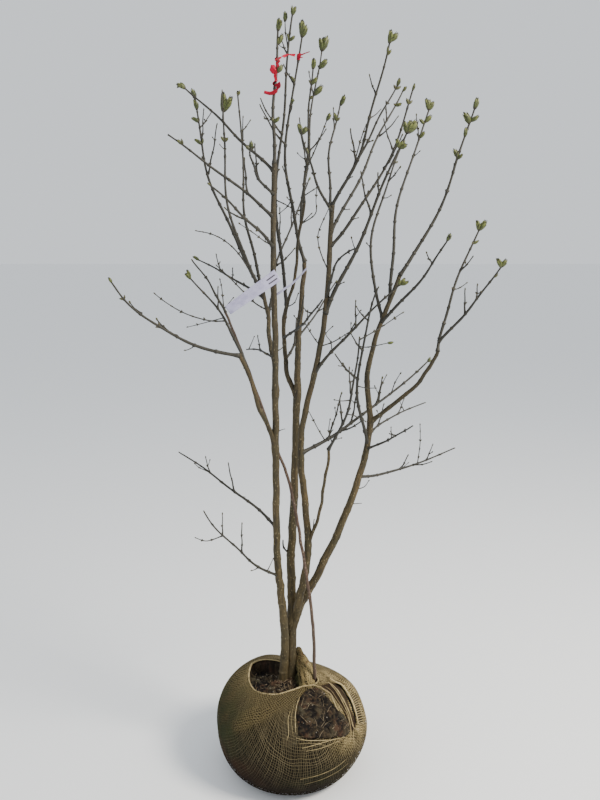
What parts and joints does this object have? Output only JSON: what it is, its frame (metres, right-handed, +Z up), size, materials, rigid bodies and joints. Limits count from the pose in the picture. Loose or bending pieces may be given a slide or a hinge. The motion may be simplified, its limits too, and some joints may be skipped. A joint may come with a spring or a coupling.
{
  "type": "lilac sapling with root ball",
  "caption": "Bare young lilac with several slender stems, opposite swelling buds and a burlap-wrapped root ball, torn open at the front.",
  "frame": {"origin": "on the flat underside of the root ball, below the middle of the ball", "axes": "+Z up along the stems; -Y is the side that shows the torn opening of the burlap, +X to its right"},
  "size_m": [0.96, 0.7413, 2.1663],
  "materials": {
    "older_bark": "matt bark, olive brown with pale spots",
    "young_bark": "smooth reddish brown bark",
    "twigs": "thin twigs with swelling green buds",
    "burlap": "loosely woven jute burlap, weathered",
    "soil": "damp dark soil with fine roots",
    "label_strip": "thin pale lilac plastic strip, left bare",
    "flagging_tape": "thin red tape"
  },
  "bodies": {
    "root": {"back_bough": "older_bark", "back_middle_shoot": "twigs", "back_right_shoot": "twigs", "burlap_gather": "burlap", "burlap_wrap": "burlap", "cross_back_shoot": "twigs", "crossing_back_shoot": "twigs", "crossing_front_shoot": "twigs", "crossing_stem": "older_bark", "far_left_shoot": "twigs", "flagging_tape": "flagging_tape", "flat_back_shoot": "twigs", "fork_bough": "older_bark", "front_curl_shoot": "twigs", "front_hook_shoot": "twigs", "front_left_shoot": "twigs", "front_middle_shoot": "twigs", "inner_bough": "older_bark", "inner_right_shoot": "twigs", "inner_shoot": "twigs", "left_bough": "older_bark", "left_bough_shoot": "twigs", "left_high_shoot": "twigs", "left_leader": "twigs", "left_low_shoot": "twigs", "left_rise_shoot": "twigs", "left_stem": "older_bark", "long_right_shoot": "twigs", "low_left_shoot": "twigs", "low_right_shoot": "twigs", "middle_leader": "twigs", "middle_stem": "older_bark", "near_right_shoot": "twigs", "outer_front_shoot": "twigs", "plant_tag": "label_strip", "right_back_twig": "twigs", "right_bough": "older_bark", "right_front_shoot": "twigs", "right_front_twig": "twigs", "right_leader": "twigs", "right_out_shoot": "twigs", "right_outer_shoot": "twigs", "right_stem": "older_bark", "rising_bough": "older_bark", "rising_shoot": "twigs", "short_left_shoot": "twigs", "side_back_shoot": "twigs", "side_front_shoot": "twigs", "side_middle_shoot": "twigs", "soil_ball": "soil", "tall_back_shoot": "twigs", "tall_left_shoot": "twigs", "tall_right_shoot": "twigs", "top_front_shoot": "twigs", "top_leader": "twigs", "under_right_shoot": "twigs", "upright_left_shoot": "twigs", "young_stem": "young_bark", "young_top_shoot": "twigs"}
  },
  "joints": []
}
